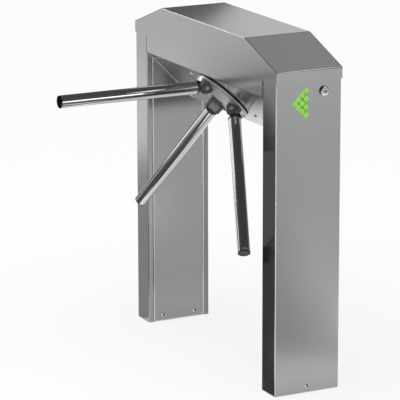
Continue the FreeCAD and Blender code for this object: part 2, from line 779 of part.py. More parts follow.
save("mechanism_plate", mechanism_plate())
save("panel_screws", Part.makeCompound(panel_screws()))
save("plate_standoffs", Part.makeCompound(plate_standoffs()))
save("rear_plate", rear_plate())
save("bearing_housing", bearing_housing())
save("front_bearing", front_bearing())
save("rear_bearing", rear_bearing())
save("pawl_pivots", Part.makeCompound(pawl_pivots()))
save("right_pawl", in_hub(pawl()))
save("left_pawl", in_hub(mirrored(pawl())))
save("right_plunger", in_hub(plunger()))
save("left_plunger", in_hub(mirrored(plunger())))
save("solenoids", Part.makeCompound([in_hub(solenoid()), in_hub(mirrored(solenoid()))]))
save("damper_body", damper_body())
save("damper_pinion", damper_pinion())
save("turn_sensor", turn_sensor())
save("power_supply", power_supply())
save("control_board", control_board())

blank = hub_blank()
save("shaft", in_hub(shaft()))
save("hub", in_hub(blank))
save("hub_skirt", in_hub(hub_skirt()))
save("hub_cap", in_hub(hub_cap()))
save("lock_wheel", lock_wheel())
save("shaft_gear", shaft_gear())
save("code_disc", code_disc())
pins = []
for number, angle in ((1, 0), (2, 120), (3, -120)):
    save("clevis_" + str(number), in_hub(clevis(blank), angle))
    pins.append(in_hub(clevis_pin(), angle))
    save("arm_tongue_" + str(number), on_arm(tongue(), angle))
    save("arm_tube_" + str(number), on_arm(arm_tube(), angle))
    save("arm_cap_" + str(number), on_arm(arm_cap(), angle))
save("clevis_pins", Part.makeCompound(pins))
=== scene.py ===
import json
import math
import bpy
from mathutils import Matrix, Vector


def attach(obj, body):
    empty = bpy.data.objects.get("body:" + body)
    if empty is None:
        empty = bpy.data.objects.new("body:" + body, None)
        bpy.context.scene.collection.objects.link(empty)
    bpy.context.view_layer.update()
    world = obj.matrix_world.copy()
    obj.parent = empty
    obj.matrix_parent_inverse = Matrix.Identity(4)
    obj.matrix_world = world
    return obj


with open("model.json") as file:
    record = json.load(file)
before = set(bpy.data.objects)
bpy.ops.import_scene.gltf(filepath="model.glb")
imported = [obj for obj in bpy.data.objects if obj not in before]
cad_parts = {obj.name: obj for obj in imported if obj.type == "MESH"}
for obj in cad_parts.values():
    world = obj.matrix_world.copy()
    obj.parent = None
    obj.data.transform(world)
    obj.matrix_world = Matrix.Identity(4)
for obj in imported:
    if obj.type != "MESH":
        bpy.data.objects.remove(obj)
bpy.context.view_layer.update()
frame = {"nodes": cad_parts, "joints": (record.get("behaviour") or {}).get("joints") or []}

nodes = frame["nodes"]
joints = {j["name"]: j for j in frame["joints"]}
print("frame loaded:", len(nodes), "nodes")


class Wire:
    # one node output: arithmetic on it adds Math nodes
    def __init__(self, finish, out):
        self.finish = finish
        self.out = out

    def calc(self, operation, first, second=0.0):
        return self.finish.node("ShaderNodeMath", {"operation": operation}, {0: first, 1: second})

    def __add__(self, other):
        return self.calc("ADD", self, other)

    def __radd__(self, other):
        return self.calc("ADD", other, self)

    def __sub__(self, other):
        return self.calc("SUBTRACT", self, other)

    def __rsub__(self, other):
        return self.calc("SUBTRACT", other, self)

    def __mul__(self, other):
        return self.calc("MULTIPLY", self, other)

    def __rmul__(self, other):
        return self.calc("MULTIPLY", other, self)

    def __gt__(self, other):
        return self.calc("GREATER_THAN", self, other)

    def __lt__(self, other):
        return self.calc("LESS_THAN", self, other)

    def __pow__(self, other):
        return self.calc("POWER", self, other)

    def __abs__(self):
        return self.calc("ABSOLUTE", self)

    def least(self, other):
        return self.calc("MINIMUM", self, other)

    def sine(self):
        return self.calc("SINE", self)


class Finish:
    # one material or world, with a single method that makes any node
    def __init__(self, name, tree=None):
        self.material = None
        if tree is None:
            self.material = bpy.data.materials.new(name)
            self.material.use_nodes = True
            tree = self.material.node_tree
        self.tree = tree
        self.tree.nodes.clear()

    def node(self, kind, settings=None, sockets=None, out=0):
        made = self.tree.nodes.new(kind)
        for key, value in (settings or {}).items():
            if key == "stops":
                ramp = made.color_ramp
                while len(ramp.elements) < len(value):
                    ramp.elements.new(0.5)
                for element, (place, colour) in zip(ramp.elements, value):
                    element.position = place
                    element.color = (*colour, 1.0)
            else:
                setattr(made, key, value)
        for key, value in (sockets or {}).items():
            if isinstance(value, Wire):
                self.tree.links.new(value.out, made.inputs[key])
            else:
                made.inputs[key].default_value = value
        return Wire(self, made.outputs[out]) if len(made.outputs) else None

    def outputs(self, kind, names, sockets=None):
        # several outputs of one node
        made = self.node(kind, {}, sockets).out.node
        return [Wire(self, made.outputs[name]) for name in names]

    def axes(self, vector):
        return self.outputs("ShaderNodeSeparateXYZ", "XYZ", {0: vector})

    def whiteness(self, seen, mirrored):
        # how white a background is to the camera, and in metal and glass
        camera, glossy, through = self.outputs(
            "ShaderNodeLightPath", ("Is Camera Ray", "Is Glossy Ray", "Is Transmission Ray"))
        return camera * seen + (glossy + through) * mirrored

    def place(self, scale=(1, 1, 1), turn=(0, 0, 0), centre=(0, 0, 0)):
        # object coordinates about a centre, turned and stretched
        coords = self.node("ShaderNodeTexCoord", out="Object")
        moved = self.node("ShaderNodeVectorMath", {"operation": "SUBTRACT"}, {0: coords, 1: centre})
        turned = self.node("ShaderNodeMapping", {}, {"Vector": moved, "Rotation": turn})
        return self.node("ShaderNodeVectorMath", {"operation": "MULTIPLY"}, {0: turned, 1: scale})

    def noise(self, vector, scale, detail, rough):
        return self.node("ShaderNodeTexNoise", {},
                         {"Vector": vector, "Scale": scale, "Detail": detail, "Roughness": rough})

    def mottle(self, scale, detail, rough=0.5):
        return self.noise(self.place(), scale, detail, rough)

    def cells(self, scale):
        return self.node("ShaderNodeTexVoronoi", {"feature": "F1"}, {"Vector": self.place(), "Scale": scale})

    def ramp(self, value, stops):
        return self.node("ShaderNodeValToRGB", {"stops": stops}, {0: value})

    def tones(self, value, tone, stops):
        return self.ramp(value, [(at, tint(tone, amount)) for at, amount in stops])

    def mask(self, value, zero, one):
        # 0 and 1 at the two given places on the value
        return self.ramp(value, sorted([(zero, grey(0.0)), (one, grey(1.0))]))

    def blend(self, factor, first, second):
        return self.node("ShaderNodeMix", {"data_type": "RGBA"}, {0: factor, 6: first, 7: second}, out=2)

    def bump(self, height, strength, reach):
        return self.node("ShaderNodeBump", {}, {"Strength": strength, "Distance": reach, "Height": height})

    def close(self, shader):
        self.node("ShaderNodeOutputMaterial", {}, {"Surface": shader})
        return self.material

    def surface(self, sockets):
        return self.close(self.node("ShaderNodeBsdfPrincipled", {}, sockets))


def grey(value):
    return (value, value, value)


def tint(colour, amount):
    return tuple(c * amount for c in colour)


def full(colour):
    return (*colour, 1.0)


def distance(first, second):
    return (first * first + second * second) ** 0.5


# in the looks below a noise is its size, detail and roughness, a bump is its strength and distance, and tones
# are places on a noise with the brightness there

# sheet steel, brushed along one axis
steelLook = {"tone": (0.425, 0.433, 0.436), "tones": ((0.3, 0.965), (0.7, 1.035)), "rough": 0.225,
             "roughVary": 0.10, "cloudRough": 0.08, "fine": 2600.0, "along": 14.0, "broad": 0.22,
             "fineNoise": (1.0, 2.0, 0.6), "fineShare": 0.6, "broadNoise": (1.0, 2.0, 0.5),
             "cloud": (3.2, 4.0, 0.55), "wipe": 0.3, "wiped": 0.95, "dark": 0.12, "bright": 1.95,
             "brightVary": 0.3, "brightLeast": 0.8, "dust": 0.05, "dustRough": 0.3, "bump": (0.03, 0.0002)}


def brushedSteel(name, axis, shade=None, lift=1.0, rough=steelLook["rough"], highlight=None):
    look = steelLook
    finish = Finish(name)
    lines = [look["fine"]] * 3
    lines[axis] = look["along"]
    fine = finish.noise(finish.place(lines), *look["fineNoise"])
    broad = finish.noise(finish.place(tint(lines, look["broad"])), *look["broadNoise"])
    cloud = finish.mottle(*look["cloud"])
    streak = fine * look["fineShare"] + broad * (1 - look["fineShare"])
    tone = tint(look["tone"], lift)
    colour = finish.tones(streak, tone, look["tones"])
    colour = finish.blend(cloud * look["wipe"], colour, full(tint(tone, look["wiped"])))
    # painted shade: where the given mask is, the steel goes darker towards the dark tone
    if shade:
        colour = finish.blend(shade(finish), colour, full(tint(tone, look["dark"])))
    # painted highlight: where the given mask is, the steel goes brighter towards the bright tone
    if highlight:
        highlit = highlight(finish) * (cloud * look["brightVary"] + look["brightLeast"])
        colour = finish.blend(highlit, colour, full(tint(tone, look["bright"])))
    height = finish.axes(finish.place())[2]
    dust = (height < look["dust"]) * (1 - height * (1 / look["dust"])) * cloud
    sheen = (rough + (streak - 0.5) * look["roughVary"] + (cloud - 0.5) * look["cloudRough"]
             + dust * look["dustRough"])
    return finish.surface({"Base Color": colour, "Metallic": 1.0, "Roughness": sheen,
                           "Normal": finish.bump(fine, *look["bump"])})


# painted shade in the gap where the lid's apron ends beside each leg, part on the lid and part on the leg,
# and painted shade along its hem
gapShadeLook = {"edge": 0.381, "onLid": 0.0036, "onLeg": 0.0008, "below": 0.9255, "above": 0.870, "front": 0.100,
           "bare": 0.0002, "hem": 0.8760, "hemShade": 0.55}


def apronGapShade(finish):
    x, _, z = finish.axes(finish.place())
    across = abs(x)
    ends = (across > gapShadeLook["edge"] - gapShadeLook["onLid"]) * (across < gapShadeLook["edge"] - gapShadeLook["bare"])
    return ends * (z < gapShadeLook["below"]) + (1 - ends) * (z < gapShadeLook["hem"]) * gapShadeLook["hemShade"]


# painted shade on the narrow flanges beside the inner panels: over the back flange, along the seam beside the
# front bead, and on the leg beside the apron's gap
flangeLook = {"inner": 0.3786, "start": 0.0885, "shade": 0.30, "seam": 0.0026, "seamShade": 0.75}


def flangeShade(finish):
    x, y, z = finish.axes(finish.place())
    across = abs(x)
    halfSeam = flangeLook["seam"] / 2
    inside = across < flangeLook["inner"]
    strip = inside * (y > flangeLook["start"])
    seam = inside * (abs(y + (flangeLook["start"] + halfSeam)) < halfSeam)
    corner = (z > gapShadeLook["above"]) * (abs(y) > gapShadeLook["front"])
    beside = (across < gapShadeLook["edge"] + gapShadeLook["onLeg"]) * corner
    return strip * flangeLook["shade"] + seam * flangeLook["seamShade"] + beside * (1.0 - flangeLook["shade"])


# painted highlight along the folded corners of the legs
cornerLook = {"end": 0.4563, "front": 0.1043}


def paintedCornerHighlight(finish):
    x, y, _ = finish.axes(finish.place())
    return (abs(x) > cornerLook["end"]) * (abs(y) > cornerLook["front"])


# polished tube chrome with wiping marks
chromeLook = {"tone": (0.76, 0.77, 0.78), "tones": ((0.25, 0.93), (0.7, 1.0)), "rough": 0.055,
              "smear": (18.0, 5.0, 0.65), "smearRough": 0.08, "scratch": (60, 900, 900),
              "scratchTurn": (0.3, 0.2, 0.5), "scratchNoise": (1.0, 2.0, 0.7), "scratchEdge": (0.60, 0.78),
              "scratchRough": 0.03, "bump": (0.003, 0.0001)}


def polishedChrome(name):
    look = chromeLook
    finish = Finish(name)
    smear = finish.mottle(*look["smear"])
    scratch = finish.noise(finish.place(look["scratch"], look["scratchTurn"]), *look["scratchNoise"])
    colour = finish.tones(smear, look["tone"], look["tones"])
    marks = finish.mask(scratch, *look["scratchEdge"])
    rough = look["rough"] + smear ** 2.0 * look["smearRough"] + marks * look["scratchRough"]
    return finish.surface({"Base Color": colour, "Metallic": 1.0, "Roughness": rough,
                           "Normal": finish.bump(scratch, *look["bump"])})


hubPlace = joints["rotor_spin"]["pos_m"]
hubLean = math.radians(135)  # from z to the hub axis, about x


def hubAxes(finish):
    return finish.axes(finish.place(turn=(-hubLean, 0, 0), centre=hubPlace))


# lathe rings around the hub axis, over a soft stain
turnedLook = {"stain": (26.0, 4.0, 0.6), "grain": (900.0, 2.0, 0.6), "ringShare": 0.12, "stainShare": 0.7,
              "grainShare": 0.18, "tones": ((0.2, 0.86), (0.75, 1.08)), "stainRough": 0.16,
              "grainRough": 0.08, "ringBump": 0.5, "bump": (0.06, 0.0003)}


def turnedMetal(name, tone, rough, rings, metallic=1.0):
    look = turnedLook
    finish = Finish(name)
    x, y, _ = hubAxes(finish)
    line = (distance(x, y) * rings).sine()
    stain = finish.mottle(*look["stain"])
    grain = finish.mottle(*look["grain"])
    level = line * look["ringShare"] + stain * look["stainShare"] + grain * look["grainShare"]
    colour = finish.tones(level, tone, look["tones"])
    roughness = rough + (stain - 0.5) * look["stainRough"] + (grain - 0.5) * look["grainRough"]
    return finish.surface({"Base Color": colour, "Metallic": metallic, "Roughness": roughness,
                           "Normal": finish.bump(line * look["ringBump"] + grain, *look["bump"])})


# satin coat with orange peel and a little bare metal
coatLook = {"peel": (3.0, 0.55), "wearAndHighlight": (70.0, 5.0, 0.7), "chip": (0.62, 0.74), "chipShare": 0.45,
            "chipTone": 2.1, "peelShare": 0.5, "peelTone": 0.8, "roughVary": 0.25, "bump": (0.12, 0.0004)}


def coatedMetal(name, tone, rough, metallic, peelSize):
    look = coatLook
    finish = Finish(name)
    peel = finish.mottle(peelSize, *look["peel"])
    wearAndHighlight = finish.mottle(*look["wearAndHighlight"])
    chip = finish.mask(wearAndHighlight, *look["chip"])
    colour = finish.blend(chip * look["chipShare"], full(tone), full(tint(tone, look["chipTone"])))
    colour = finish.blend(peel * look["peelShare"], colour, full(tint(tone, look["peelTone"])))
    return finish.surface({"Base Color": colour, "Metallic": metallic,
                           "Roughness": rough + (wearAndHighlight - 0.5) * look["roughVary"],
                           "Normal": finish.bump(peel, *look["bump"])})


# fine-grained plastic and rubber, a little dusty
plasticLook = {"grain": (2.0, 0.5), "cloud": (22.0, 5.0, 0.65), "fade": 0.6, "pale": 0.05, "roughVary": 0.22,
               "bump": (0.15, 0.0004)}


def mouldedPlastic(name, tone, rough, dust, grainSize=1400.0):
    look = plasticLook
    finish = Finish(name)
    grain = finish.mottle(grainSize, *look["grain"])
    cloud = finish.mottle(*look["cloud"])
    dusty = tuple(c * look["fade"] + look["pale"] for c in tone)
    colour = finish.blend(cloud * dust, full(tone), full(dusty))
    return finish.surface({"Base Color": colour, "Roughness": rough + (cloud - 0.5) * look["roughVary"],
                           "Normal": finish.bump(grain, *look["bump"])})


# passivated plate: cloudy, with a faint warm and cool shift
zincLook = {"cloud": (18.0, 6.0, 0.65), "shifts": ((0.3, (1.04, 1.0, 0.9)), (0.7, (0.95, 1.0, 1.08))),
            "spangle": 160.0, "spangleShare": 0.35, "spangleTone": 0.8, "rough": 0.3, "roughVary": 0.22,
            "bump": (0.05, 0.0004)}


def zincPlate(name, tone):
    look = zincLook
    finish = Finish(name)
    cloud = finish.mottle(*look["cloud"])
    spangle = finish.cells(look["spangle"])
    shifted = [(at, tuple(c * part for c, part in zip(tone, shift))) for at, shift in look["shifts"]]
    colour = finish.ramp(cloud, shifted)
    colour = finish.blend(spangle * look["spangleShare"], colour, full(tint(tone, look["spangleTone"])))
    return finish.surface({"Base Color": colour, "Metallic": 1.0,
                           "Roughness": look["rough"] + cloud * look["roughVary"],
                           "Normal": finish.bump(spangle, *look["bump"])})


# lit pass arrow, whose last column is a deeper green
arrowLook = {"tone": (0.21, 0.57, 0.055), "glow": (0.30, 0.65, 0.095), "deep": (0.19, 0.54, 0.012),
             "tones": ((0.2, 1.25), (0.8, 0.8)), "glowTones": ((0.2, 1.2), (0.8, 0.75)), "strength": 0.60,
             "cell": 420.0, "cellShare": 0.7, "cloud": (60.0, 3.0, 0.5), "cloudShare": 0.6,
             "columnScale": 30.0, "columnShift": 0.9, "columnEdge": (0.3, 0.6), "rough": 0.18,
             "roughVary": 0.15, "coat": 0.4, "bump": (0.12, 0.0006)}


def arrowLens(name):
    look = arrowLook
    finish = Finish(name)
    cell = finish.cells(look["cell"])
    cloud = finish.mottle(*look["cloud"])
    level = cell * look["cellShare"] + cloud * look["cloudShare"]
    y = finish.axes(finish.place())[1]
    deep = finish.mask(y * look["columnScale"] + look["columnShift"], *look["columnEdge"])
    colour = finish.tones(level, look["tone"], look["tones"])
    lit = finish.tones(level, look["glow"], look["glowTones"])
    glow = finish.blend(deep, lit, full(look["deep"]))
    return finish.surface({"Base Color": colour, "Roughness": look["rough"] + cloud * look["roughVary"],
                           "Emission Color": glow, "Emission Strength": look["strength"],
                           "Coat Weight": look["coat"], "Normal": finish.bump(cell, *look["bump"])})


# green board with tracks and bright pads
boardLook = {"dark": (0.010, 0.11, 0.040), "light": (0.014, 0.15, 0.055), "track": (0.03, 0.26, 0.10),
             "tracks": 90.0, "trackWide": 0.035, "offset": 0.37, "squash": 0.6, "pad": (0.55, 0.45, 0.22),
             "pads": 210.0, "padEdge": (0.16, 0.10), "padMetal": 0.9, "rough": 0.42, "padRough": 0.15,
             "bump": (0.1, 0.0003)}


def circuitBoard(name):
    look = boardLook
    finish = Finish(name)
    tracks = finish.node("ShaderNodeTexBrick", {"offset": look["offset"], "squash": look["squash"]},
                         {"Vector": finish.place(turn=(math.radians(90), 0, 0)), "Scale": look["tracks"],
                          "Color1": full(look["dark"]), "Color2": full(look["light"]),
                          "Mortar": full(look["track"]), "Mortar Size": look["trackWide"]})
    pad = finish.mask(finish.cells(look["pads"]), *look["padEdge"])
    colour = finish.blend(pad, tracks, full(look["pad"]))
    return finish.surface({"Base Color": colour, "Metallic": pad * look["padMetal"],
                           "Roughness": look["rough"] - pad * look["padRough"],
                           "Normal": finish.bump(tracks, *look["bump"])})


# taped winding: fine turns across a dark frame
coilLook = {"turns": 5200.0, "turnShare": 0.3, "cloud": (60.0, 4.0, 0.6),
            "colours": ((0.2, (0.020, 0.020, 0.024)), (0.9, (0.075, 0.07, 0.068))), "rough": 0.36,
            "roughVary": 0.2, "bump": (0.15, 0.0004)}


def coilFrame(name):
    look = coilLook
    finish = Finish(name)
    turns = (hubAxes(finish)[1] * look["turns"]).sine()
    cloud = finish.mottle(*look["cloud"])
    colour = finish.ramp(turns * look["turnShare"] + cloud, look["colours"])
    return finish.surface({"Base Color": colour, "Roughness": look["rough"] + cloud * look["roughVary"],
                           "Normal": finish.bump(turns, *look["bump"])})


# screw heads with painted shade in the hex socket: axisGap gives the distance from the nearest screw's axis
screwLook = {"stain": (240.0, 3.0, 0.6), "stainShare": 0.7, "grain": (2400.0, 2.0, 0.6), "grainShare": 0.3,
             "tones": ((0.3, 0.9), (0.7, 1.05)), "socket": 0.0036, "socketShadeTone": (0.012, 0.012, 0.013),
             "socketMetal": 0.8, "socketRough": 0.4, "rough": 0.16, "roughVary": 0.12, "bump": (0.05, 0.0002)}


def screwHead(name, tone, axisGap):
    look = screwLook
    finish = Finish(name)
    stain = finish.mottle(*look["stain"])
    grain = finish.mottle(*look["grain"])
    level = stain * look["stainShare"] + grain * look["grainShare"]
    # painted shade: the socket is coloured near-black
    socketShade = axisGap(finish) < look["socket"]
    colour = finish.blend(socketShade, finish.tones(level, tone, look["tones"]), full(look["socketShadeTone"]))
    roughness = look["rough"] + stain * look["roughVary"] + socketShade * look["socketRough"]
    return finish.surface({"Base Color": colour, "Metallic": 1.0 - socketShade * look["socketMetal"],
                           "Roughness": roughness, "Normal": finish.bump(grain, *look["bump"])})


footScrewLook = {"apart": 0.056, "height": 0.0195}
panelScrewLook = {"across": 0.116, "down": 0.0685}


def footScrewGap(finish):
    _, y, z = finish.axes(finish.place())
    along = abs(y).least(abs(abs(y) - footScrewLook["apart"]))  # one in the middle and one to each side
    return distance(along, z - footScrewLook["height"])


def panelScrewGap(finish):
    x, y, _ = hubAxes(finish)
    return distance(abs(x) - panelScrewLook["across"], abs(y) - panelScrewLook["down"])


# lock rim: black sides, steel face, and a near-white painted highlight along its lower edge
lockLook = {"faceFrom": 0.4645, "tone": (0.50, 0.505, 0.51), "tones": ((0.3, 0.9), (0.7, 1.08)),
            "side": (0.004, 0.004, 0.004), "wearAndHighlight": (0.97, 0.97, 0.97), "highlightBelow": 0.8882,
            "rub": (300, 2600, 300), "rubNoise": (1.0, 3.0, 0.6), "rough": 0.34, "faceRough": 0.12,
            "rubRough": 0.06, "bump": (0.05, 0.0002)}


def lockRim(name):
    look = lockLook
    finish = Finish(name)
    x, _, z = finish.axes(finish.place())
    rub = finish.noise(finish.place(look["rub"]), *look["rubNoise"])
    face = x > look["faceFrom"]
    bright = finish.tones(rub, look["tone"], look["tones"])
    # painted highlight: the face is near-white along its lower edge
    litEdge = finish.blend(z < look["highlightBelow"], bright, full(look["wearAndHighlight"]))
    colour = finish.blend(face, full(look["side"]), litEdge)
    return finish.surface({"Base Color": colour, "Metallic": face,
                           "Roughness": look["rough"] - face * look["faceRough"] + rub * look["rubRough"],
                           "Normal": finish.bump(rub, *look["bump"])})


# each finish: the function that makes it, and what that function is given after the name
finishLooks = {
    "steelUpright": (brushedSteel, 2, flangeShade, 1.0, steelLook["rough"], paintedCornerHighlight),
    "steelPanel": (brushedSteel, 2),
    "steelLid": (brushedSteel, 0, apronGapShade, 1.0, 0.19),
    # painted light: the bridge casing's steel is 1.7 times paler than the legs' steel
    "steelLong": (brushedSteel, 0, None, 1.7),
    "chrome": (polishedChrome,),
    "footScrew": (screwHead, (0.90, 0.90, 0.89), footScrewGap),
    "panelScrew": (screwHead, (0.86, 0.86, 0.85), panelScrewGap),
    "screwSteel": (turnedMetal, (0.62, 0.62, 0.61), 0.25, 5000.0),
    # painted highlight: the beads and slope edges are much paler than the panels' steel
    "beadSteel": (turnedMetal, (0.82, 0.825, 0.83), 0.16, 3000.0),
    "pinSteel": (turnedMetal, (0.78, 0.78, 0.78), 0.42, 5000.0),
    "hubGrey": (turnedMetal, (0.76, 0.77, 0.775), 0.38, 4200.0, 0.8),
    "tongueGrey": (turnedMetal, (0.34, 0.345, 0.35), 0.38, 5000.0),
    "shaftSteel": (turnedMetal, (0.56, 0.56, 0.55), 0.26, 6000.0),
    "castGrey": (coatedMetal, (0.44, 0.44, 0.43), 0.5, 0.9, 500.0),
    "clevisDark": (coatedMetal, (0.145, 0.15, 0.153), 0.40, 0.55, 700.0),
    "lockRim": (lockRim,),
    "lockPlug": (turnedMetal, (0.50, 0.505, 0.51), 0.28, 5000.0),
    "capBlack": (mouldedPlastic, (0.006, 0.006, 0.007), 0.15, 0.04),
    "sealBlack": (mouldedPlastic, (0.008, 0.008, 0.009), 0.45, 0.1),
    "skirtBlack": (mouldedPlastic, (0.010, 0.010, 0.011), 0.5, 0.1),
    "rubber": (mouldedPlastic, (0.022, 0.022, 0.022), 0.78, 0.25, 900.0),
    "zinc": (zincPlate, (0.56, 0.56, 0.53)),
    "brass": (turnedMetal, (0.60, 0.44, 0.17), 0.26, 5000.0),
    "arrowLens": (arrowLens,),
    "arrowFilm": (mouldedPlastic, (0.030, 0.115, 0.020), 0.35, 0.1),
    "circuitBoard": (circuitBoard,),
    "coilFrame": (coilFrame,),
    "supplyBox": (zincPlate, (0.60, 0.60, 0.60)),
}
finishes = {name: maker(name, *values) for name, (maker, *values) in finishLooks.items()}

finishOf = {
    "steelUpright": ["right_leg_shell", "left_leg_shell"],
    "steelPanel": ["right_inner_panel", "left_inner_panel"],
    "steelLid": ["lid"],
    "steelLong": ["bridge_casing"],
    "chrome": ["arm_tube_1", "arm_tube_2", "arm_tube_3", "hub_cap"],
    "lockRim": ["lock_body"],
    "lockPlug": ["lock_plug"],
    "footScrew": ["foot_screws"],
    "panelScrew": ["panel_screws"],
    "screwSteel": ["bridge_bolts", "plate_standoffs", "pawl_pivots"],
    "pinSteel": ["clevis_pins"],
    "hubGrey": ["hub"],
    "tongueGrey": ["arm_tongue_1", "arm_tongue_2", "arm_tongue_3"],
    "shaftSteel": ["shaft", "lock_wheel", "shaft_gear", "front_bearing", "rear_bearing", "right_plunger",
                   "left_plunger"],
    "castGrey": ["bearing_housing", "damper_body"],
    "clevisDark": ["clevis_1", "clevis_2", "clevis_3"],
    "capBlack": ["arm_cap_1", "arm_cap_2", "arm_cap_3", "turn_sensor"],
    "skirtBlack": ["hub_skirt", "code_disc"],
    "rubber": ["cable_grommets", "lid_buffers"],
    "zinc": ["right_foot", "left_foot", "mechanism_plate", "rear_plate", "lid_keeper", "lock_cam", "lock_nut",
             "right_pawl", "left_pawl"],
    "brass": ["damper_pinion"],
    "arrowLens": ["right_indicator_lens", "left_indicator_lens"],
    "circuitBoard": ["indicator_boards", "control_board"],
    "coilFrame": ["solenoids"],
    "supplyBox": ["power_supply"],
}
for finishName, members in finishOf.items():
    for member in members:
        nodes[member].data.materials.clear()
        nodes[member].data.materials.append(finishes[finishName])
bare = set(nodes) - {member for members in finishOf.values() for member in members}
print("finishes given:", len(finishes), "without one:", sorted(bare))


# new pieces start as a primitive in the hub's or an arm's own frame
armLook = {"turns": {1: 0, 2: 120, 3: -120}, "pin": (0, 0.0685, 0.0255), "lean": -45}
hubFrame = Matrix.Translation(hubPlace) @ Matrix.Rotation(hubLean, 4, "X")
armLean = Matrix.Translation(armLook["pin"]) @ Matrix.Rotation(math.radians(armLook["lean"]), 4, "X")
sides = {"right": 1, "left": -1}
facing = 0.9  # a face with more of its normal than this along an axis looks that way
edgeLook = {"sharp": math.radians(40), "smooth": math.radians(35)}


def hubTurned(number):
    return hubFrame @ Matrix.Rotation(math.radians(armLook["turns"][number]), 4, "Z")


def fresh(name, add, **sizes):
    bpy.ops.object.select_all(action="DESELECT")
    add(**sizes)
    piece = bpy.context.object
    piece.name = name
    return piece


def freshBlock(name, centre, size):
    block = fresh(name, bpy.ops.mesh.primitive_cube_add, size=1.0, location=centre, scale=size)
    bpy.ops.object.transform_apply(location=True, rotation=True, scale=True)
    return block


def freshRing(name, look):
    deep = look["to"] - look["from"]
    ring = fresh(name, bpy.ops.mesh.primitive_cylinder_add, vertices=look["corners"], radius=look["outer"],
                 depth=deep, end_fill_type="NOTHING", location=(0, 0, look["from"] + deep / 2))
    wall = ring.modifiers.new("wall", "SOLIDIFY")
    wall.thickness, wall.offset = look["wall"], -1.0
    bpy.ops.object.modifier_apply(modifier="wall")
    roundEdges(ring, look["edge"])
    return ring


def pickFaces(piece, test):
    bpy.ops.object.mode_set(mode="EDIT")
    bpy.ops.mesh.select_mode(type="FACE")
    bpy.ops.mesh.select_all(action="DESELECT")
    bpy.ops.object.mode_set(mode="OBJECT")
    for face in piece.data.polygons:
        face.select = bool(test(face.center, face.normal))
    bpy.ops.object.mode_set(mode="EDIT")


def cutAll(place, normal):
    bpy.ops.object.mode_set(mode="EDIT")
    bpy.ops.mesh.select_all(action="SELECT")
    bpy.ops.mesh.bisect(plane_co=place, plane_no=normal)
    bpy.ops.object.mode_set(mode="OBJECT")


def pushOut(step):
    bpy.ops.mesh.extrude_region_move(TRANSFORM_OT_translate={"value": step})
    bpy.ops.object.mode_set(mode="OBJECT")


def narrowEnd(rod, end, look):
    # a narrower tip on the upper (1) or lower (-1) end of an upright rod
    pickFaces(rod, lambda c, n: n.z * end > facing)
    bpy.ops.mesh.inset(thickness=look["radius"] * look["inset"])
    pushOut((0, 0, end * look["radius"] * look["tip"]))


def roundEdges(piece, width):
    edge = piece.modifiers.new("edge", "BEVEL")
    edge.width, edge.segments, edge.limit_method = width, 2, "ANGLE"
    edge.angle_limit = edgeLook["sharp"]
    bpy.ops.object.modifier_apply(modifier="edge")


def settle(piece, matrix, body, finishName):
    bpy.ops.object.select_all(action="DESELECT")
    piece.select_set(True)
    bpy.context.view_layer.objects.active = piece
    piece.matrix_world = matrix @ piece.matrix_world
    bpy.ops.object.transform_apply(location=True, rotation=True, scale=True)
    bpy.ops.object.shade_smooth_by_angle(angle=edgeLook["smooth"])
    piece.data.materials.clear()
    piece.data.materials.append(finishes[finishName])
    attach(piece, body)


def setOut(pattern, places, finishName):
    # the modelled piece is copied to each place, with a mesh of its own, and then removed
    for name, matrix, body in places:
        bpy.ops.object.select_all(action="DESELECT")
        pattern.select_set(True)
        bpy.context.view_layer.objects.active = pattern
        bpy.ops.object.duplicate(linked=False)
        piece = bpy.context.object
        piece.name = name
        settle(piece, matrix, body, finishName)
    bpy.data.objects.remove(pattern)


# black seal round each arm's collar, just before the tube
sealLook = {"outer": 0.0199, "wall": 0.0012, "from": 0.0222, "to": 0.0262, "corners": 72, "edge": 0.0004}


def makeSeals():
    places = [("rootSeal_%d" % n, hubTurned(n) @ armLean, "arm_%d" % n) for n in armLook["turns"]]
    setOut(freshRing("sealPattern", sealLook), places, "sealBlack")


# black trim ring let into the hub's flat rim
rimLook = {"outer": 0.0884, "wall": 0.0032, "from": 0.0093, "to": 0.0104, "corners": 144, "edge": 0.0002}


def makeRimBand():
    settle(freshRing("rimBand", rimLook), hubFrame, "rotor", "sealBlack")


# plated latch block beyond each clevis, with two pockets in its outer face
blockLook = {"wide": 0.0266, "inner": 0.0805, "outer": 0.0936, "low": 0.0131, "high": 0.0221, "lip": 0.0898,
             "lipDrop": 0.0033, "rim": 0.0022, "pocket": 0.0030, "cutBack": 0.0028, "near": 0.0005,
             "edge": 0.0005}


def makeBlocks():
    look = blockLook
    centre = (0, (look["inner"] + look["outer"]) / 2, (look["low"] + look["high"]) / 2)
    size = (look["wide"], look["outer"] - look["inner"], look["high"] - look["low"])
    block = freshBlock("blockPattern", centre, size)
    cutAll((0, look["lip"], 0), (0, 1, 0))
    pickFaces(block, lambda c, n: n.z < -facing and c.y > look["lip"])
    pushOut((0, 0, -look["lipDrop"]))
    cutAll((0, 0, 0), (1, 0, 0))
    pickFaces(block, lambda c, n: n.y > facing and c.z > look["low"])
    bpy.ops.mesh.inset(thickness=look["rim"], use_individual=True)
    pushOut((0, -look["pocket"], 0))
    for corner in block.data.vertices:  # clears the arm's tongue
        if corner.co.y < look["inner"] + look["near"] and corner.co.z > look["high"] - look["near"]:
            corner.co.y += look["cutBack"]
    roundEdges(block, look["edge"])
    places = [("latchBlock_%d" % n, hubTurned(n), "rotor") for n in armLook["turns"]]
    setOut(block, places, "chrome")


# folded bead down each side of the inner panels
beadLook = {"radius": 0.0019, "proud": 0.0012, "across": 0.0872, "low": 0.004, "high": 0.868, "panel": 0.378,
            "inset": 0.35, "tip": 0.5, "corners": 20}


